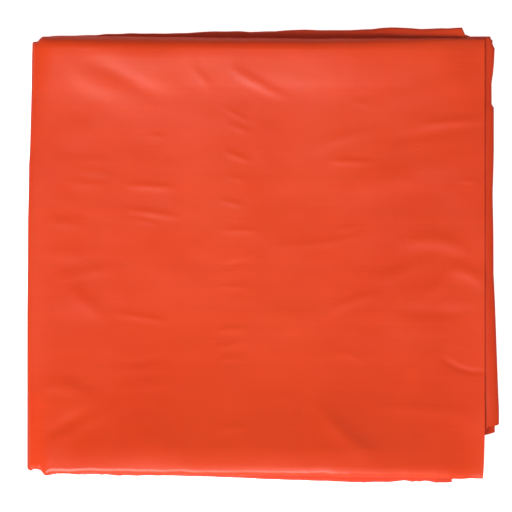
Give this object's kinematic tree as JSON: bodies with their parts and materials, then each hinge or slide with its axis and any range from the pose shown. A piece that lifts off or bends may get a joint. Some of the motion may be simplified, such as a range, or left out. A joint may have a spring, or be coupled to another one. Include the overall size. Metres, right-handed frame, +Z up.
{
  "type": "bivy sack",
  "caption": "Orange polythene survival bag, fan-folded into a flat, nearly square packet that opens out along its creases into a long flat strip.",
  "frame": {"origin": "middle of the packet's footprint, on the surface it lies on", "axes": "+Z up through the packet's thickness, +X towards the bag's mouth and foot ends, +Y towards the outer side fold"},
  "size_m": [0.236, 0.227, 0.0165],
  "materials": {
    "film": "satin blown film, softly wrinkled",
    "weld": "heat seal, finely ribbed"
  },
  "bodies": {
    "leaf_1": {"leaf1_panel_a": "film", "leaf1_panel_b": "film", "leaf1_panel_c": "film", "leaf1_panel_d": "film", "leaf1_fold_top": "film", "leaf1_fold_bottom": "film", "foot_weld": "weld", "crease_1_2": "film"},
    "leaf_2": {"leaf2_panel_a": "film", "leaf2_panel_b": "film", "leaf2_panel_c": "film", "leaf2_panel_d": "film", "leaf2_fold_top": "film", "leaf2_fold_bottom": "film", "crease_2_3": "film"},
    "leaf_3": {"leaf3_panel_a": "film", "leaf3_panel_b": "film", "leaf3_panel_c": "film", "leaf3_panel_d": "film", "leaf3_fold_top": "film", "leaf3_fold_bottom": "film", "crease_3_4": "film"},
    "leaf_4": {"leaf4_panel_a": "film", "leaf4_panel_b": "film", "leaf4_panel_c": "film", "leaf4_panel_d": "film", "leaf4_fold_top": "film", "leaf4_fold_bottom": "film", "crease_4_5": "film"},
    "leaf_5": {"leaf5_panel_a": "film", "leaf5_panel_b": "film", "leaf5_panel_c": "film", "leaf5_panel_d": "film", "leaf5_fold_top": "film", "leaf5_fold_bottom": "film", "crease_5_6": "film"},
    "leaf_6": {"leaf6_panel_a": "film", "leaf6_panel_b": "film", "leaf6_panel_c": "film", "leaf6_panel_d": "film", "leaf6_fold_top": "film", "leaf6_fold_bottom": "film", "crease_6_7": "film"},
    "leaf_7": {"leaf7_panel_a": "film", "leaf7_panel_b": "film", "leaf7_panel_c": "film", "leaf7_panel_d": "film", "leaf7_fold_top": "film", "leaf7_fold_bottom": "film", "crease_7_8": "film"},
    "leaf_8": {"leaf8_panel_a": "film", "leaf8_panel_b": "film", "leaf8_panel_c": "film", "leaf8_panel_d": "film", "leaf8_fold_top": "film", "leaf8_fold_bottom": "film"}
  },
  "joints": [
    {"name": "unfold_1_2", "type": "hinge", "parent": "leaf_1", "child": "leaf_2", "pos_m": [-0.11624, 0, 0.00196], "axis": [0, -1, 0], "range_deg": [0, 179], "deforming": ["crease_1_2"]},
    {"name": "unfold_2_3", "type": "hinge", "parent": "leaf_2", "child": "leaf_3", "pos_m": [0.1085, 0, 0.00406], "axis": [0, 1, 0], "range_deg": [0, 179], "deforming": ["crease_2_3"]},
    {"name": "unfold_3_4", "type": "hinge", "parent": "leaf_3", "child": "leaf_4", "pos_m": [-0.11624, 0, 0.00616], "axis": [0, -1, 0], "range_deg": [0, 179], "deforming": ["crease_3_4"]},
    {"name": "unfold_4_5", "type": "hinge", "parent": "leaf_4", "child": "leaf_5", "pos_m": [0.1085, 0, 0.00826], "axis": [0, 1, 0], "range_deg": [0, 179], "deforming": ["crease_4_5"]},
    {"name": "unfold_5_6", "type": "hinge", "parent": "leaf_5", "child": "leaf_6", "pos_m": [-0.11624, 0, 0.01036], "axis": [0, -1, 0], "range_deg": [0, 179], "deforming": ["crease_5_6"]},
    {"name": "unfold_6_7", "type": "hinge", "parent": "leaf_6", "child": "leaf_7", "pos_m": [0.1085, 0, 0.01246], "axis": [0, 1, 0], "range_deg": [0, 179], "deforming": ["crease_6_7"]},
    {"name": "unfold_7_8", "type": "hinge", "parent": "leaf_7", "child": "leaf_8", "pos_m": [-0.11624, 0, 0.01456], "axis": [0, -1, 0], "range_deg": [0, 179], "deforming": ["crease_7_8"]}
  ],
  "couplings": [
    {"joint": "unfold_2_3", "follows": "unfold_1_2", "ratio": 1},
    {"joint": "unfold_3_4", "follows": "unfold_1_2", "ratio": 1},
    {"joint": "unfold_4_5", "follows": "unfold_1_2", "ratio": 1},
    {"joint": "unfold_5_6", "follows": "unfold_1_2", "ratio": 1},
    {"joint": "unfold_6_7", "follows": "unfold_1_2", "ratio": 1},
    {"joint": "unfold_7_8", "follows": "unfold_1_2", "ratio": 1}
  ]
}
